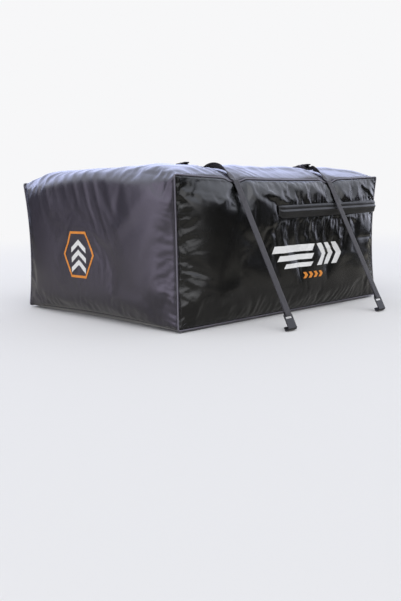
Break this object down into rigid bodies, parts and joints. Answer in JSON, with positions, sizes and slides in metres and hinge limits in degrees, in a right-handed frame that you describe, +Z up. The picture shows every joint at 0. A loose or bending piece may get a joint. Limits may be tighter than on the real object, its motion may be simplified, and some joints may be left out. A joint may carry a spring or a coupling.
{
  "type": "car top carrier",
  "caption": "Soft-sided roof-top luggage box with glossy dark side panels, a slate top and ends, a side zipper under a rain flap and four hold-down straps with cam buckles and flat door hooks.",
  "frame": {"origin": "centre of the flat bottom of the bag, on the floor", "axes": "+Z up, +X along the black side towards the rear end with the zipper, -Y the near black side in the picture"},
  "size_m": [1.0362, 1.2322, 0.4914],
  "materials": {
    "wrap_cloth": "slate purple-grey coated nylon, satin",
    "gloss_side": "black coated cloth with a glossy film",
    "piping": "light grey edge cord, smooth",
    "zipper_teeth": "dark coil",
    "zipper_tape": "dark woven tape",
    "flap_cloth": "dark grey coated cloth",
    "webbing": "slate woven webbing",
    "steel": "plated steel",
    "hard_black": "black moulded"
  },
  "bodies": {
    "carrier": {"top_wrap": "wrap_cloth", "base_panel": "wrap_cloth", "side_panel_left": "gloss_side", "side_panel_right": "gloss_side", "piping_left": "piping", "piping_right": "piping", "zipper_teeth_upper": "zipper_teeth", "zipper_teeth_lower": "zipper_teeth", "zipper_tape_upper": "zipper_tape", "zipper_tape_lower": "zipper_tape", "zipper_stop_left": "steel", "zipper_stop_right": "steel", "rain_flap_left": "flap_cloth", "rain_flap_right": "flap_cloth", "buckle_frame_near_1": "hard_black", "cam_pin_near_1": "steel", "cam_spring_near_1": "steel", "anchor_loop_near_1": "webbing", "strap_near_1": "webbing", "anchor_patch_near_1": "wrap_cloth", "buckle_frame_near_2": "hard_black", "cam_pin_near_2": "steel", "cam_spring_near_2": "steel", "anchor_loop_near_2": "webbing", "strap_near_2": "webbing", "anchor_patch_near_2": "wrap_cloth", "buckle_frame_far_1": "hard_black", "cam_pin_far_1": "steel", "cam_spring_far_1": "steel", "anchor_loop_far_1": "webbing", "strap_far_1": "webbing", "anchor_patch_far_1": "wrap_cloth", "buckle_frame_far_2": "hard_black", "cam_pin_far_2": "steel", "cam_spring_far_2": "steel", "anchor_loop_far_2": "webbing", "strap_far_2": "webbing", "anchor_patch_far_2": "wrap_cloth"},
    "cam_lever_near_1": {"cam_lever_near_1": "hard_black"},
    "cam_lever_near_2": {"cam_lever_near_2": "hard_black"},
    "cam_lever_far_1": {"cam_lever_far_1": "hard_black"},
    "cam_lever_far_2": {"cam_lever_far_2": "hard_black"},
    "door_hook_near_1": {"door_hook_near_1": "hard_black"},
    "door_hook_near_2": {"door_hook_near_2": "hard_black"},
    "door_hook_far_1": {"door_hook_far_1": "hard_black"},
    "door_hook_far_2": {"door_hook_far_2": "hard_black"},
    "zipper_slider_a": {"zipper_slider_a": "steel"},
    "pull_tab_a": {"pull_tab_a": "hard_black"},
    "zipper_slider_b": {"zipper_slider_b": "steel"},
    "pull_tab_b": {"pull_tab_b": "hard_black"}
  },
  "joints": [
    {"name": "cam_press_near_1", "type": "hinge", "parent": "carrier", "child": "cam_lever_near_1", "pos_m": [-0.25245, -0.16956, 0.48158], "axis": [1, 0, 0], "range_deg": [0, 22], "stiffness_Nm_per_rad": 0.05, "springref_deg": -17.19},
    {"name": "cam_press_near_2", "type": "hinge", "parent": "carrier", "child": "cam_lever_near_2", "pos_m": [0.20677, -0.29067, 0.47965], "axis": [1, 0, 0], "range_deg": [0, 22], "stiffness_Nm_per_rad": 0.05, "springref_deg": -17.19},
    {"name": "cam_press_far_1", "type": "hinge", "parent": "carrier", "child": "cam_lever_far_1", "pos_m": [-0.25152, 0.27889, 0.485], "axis": [-1, 0, 0], "range_deg": [0, 22], "stiffness_Nm_per_rad": 0.05, "springref_deg": -17.19},
    {"name": "cam_press_far_2", "type": "hinge", "parent": "carrier", "child": "cam_lever_far_2", "pos_m": [0.20679, 0.28674, 0.48453], "axis": [-1, 0, 0], "range_deg": [0, 22], "stiffness_Nm_per_rad": 0.05, "springref_deg": -17.19},
    {"name": "hook_swing_near_1", "type": "hinge", "parent": "carrier", "child": "door_hook_near_1", "pos_m": [-0.25, -0.5965, 0.04387], "axis": [1, 0, 0], "range_deg": [-45, 45]},
    {"name": "hook_swing_near_2", "type": "hinge", "parent": "carrier", "child": "door_hook_near_2", "pos_m": [0.206, -0.59526, 0.04387], "axis": [1, 0, 0], "range_deg": [-45, 45]},
    {"name": "hook_swing_far_1", "type": "hinge", "parent": "carrier", "child": "door_hook_far_1", "pos_m": [-0.25, 0.5965, 0.04387], "axis": [1, 0, 0], "range_deg": [-45, 45]},
    {"name": "hook_swing_far_2", "type": "hinge", "parent": "carrier", "child": "door_hook_far_2", "pos_m": [0.206, 0.59526, 0.04387], "axis": [1, 0, 0], "range_deg": [-45, 45]},
    {"name": "zipper_slide_a", "type": "slide", "parent": "carrier", "child": "zipper_slider_a", "axis": [0, -1, 0], "range_m": [0, 0.2]},
    {"name": "pull_tab_swing_a", "type": "hinge", "parent": "zipper_slider_a", "child": "pull_tab_a", "pos_m": [0.51679, -0.0055, 0.335], "axis": [0, 0, 1], "range_deg": [0, 140]},
    {"name": "zipper_slide_b", "type": "slide", "parent": "carrier", "child": "zipper_slider_b", "axis": [0, 1, 0], "range_m": [0, 0.2]},
    {"name": "pull_tab_swing_b", "type": "hinge", "parent": "zipper_slider_b", "child": "pull_tab_b", "pos_m": [0.51679, 0.0055, 0.335], "axis": [0, 0, -1], "range_deg": [0, 140]}
  ]
}
